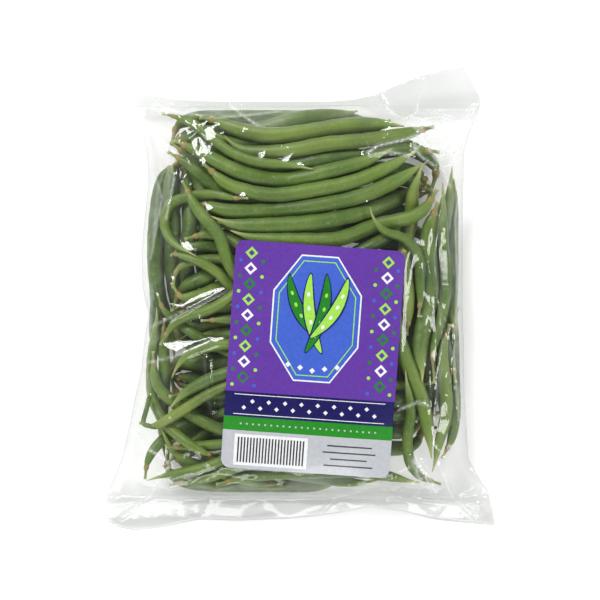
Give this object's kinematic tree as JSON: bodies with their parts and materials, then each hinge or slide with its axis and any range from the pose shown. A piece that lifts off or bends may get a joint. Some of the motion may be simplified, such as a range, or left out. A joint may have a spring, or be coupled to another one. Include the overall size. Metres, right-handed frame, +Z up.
{
  "type": "bagged green bean bundle",
  "caption": "Flat pillow bag of clear film packed with slender green beans, with a printed paper label on its front, lying on its back.",
  "frame": {"origin": "on the surface that the bag lies on, below the middle of the bag's plan", "axes": "+X to the bag's right as its label is read, +Y to its head seal, +Z up, out of its labelled front"},
  "size_m": [0.1969, 0.2327, 0.0352],
  "materials": {
    "film": "clear glossy film",
    "label": "printed, semi-gloss",
    "bean": "waxy skin"
  },
  "bodies": {
    "root": {"film_bag": "film", "label": "label", "pair_foot": "bean", "pair_label": "bean", "pair_left": "bean", "pair_middle": "bean", "pair_right": "bean", "pair_waist": "bean", "pod_foot_first": "bean", "pod_foot_rim": "bean", "pod_foot_second": "bean", "pod_foot_slant": "bean", "pod_foot_under": "bean", "pod_head_fifth": "bean", "pod_head_fourth": "bean", "pod_head_left": "bean", "pod_head_rim": "bean", "pod_head_second": "bean", "pod_head_seventh": "bean", "pod_head_sixth": "bean", "pod_head_slant": "bean", "pod_head_third": "bean", "pod_head_under": "bean", "pod_label_rim": "bean", "pod_left_bright": "bean", "pod_left_corner": "bean", "pod_left_curl": "bean", "pod_left_deep": "bean", "pod_left_first": "bean", "pod_left_fold": "bean", "pod_left_low": "bean", "pod_left_rim": "bean", "pod_left_slant": "bean", "pod_left_stalk": "bean", "pod_left_sweep": "bean", "pod_left_third": "bean", "pod_left_upright": "bean", "pod_over_label": "bean", "pod_right_across": "bean", "pod_right_broad": "bean", "pod_right_fold": "bean", "pod_right_hazy": "bean", "pod_right_long": "bean", "pod_right_olive": "bean", "pod_right_short": "bean", "pod_right_side": "bean", "pod_right_top": "bean", "pod_right_turn": "bean", "spray_01": "bean", "spray_02": "bean", "spray_03": "bean", "spray_04": "bean", "spray_05": "bean", "spray_06": "bean", "spray_07": "bean", "spray_08": "bean", "spray_09": "bean", "spray_10": "bean", "spray_11": "bean", "stem_left": "bean"}
  },
  "joints": []
}
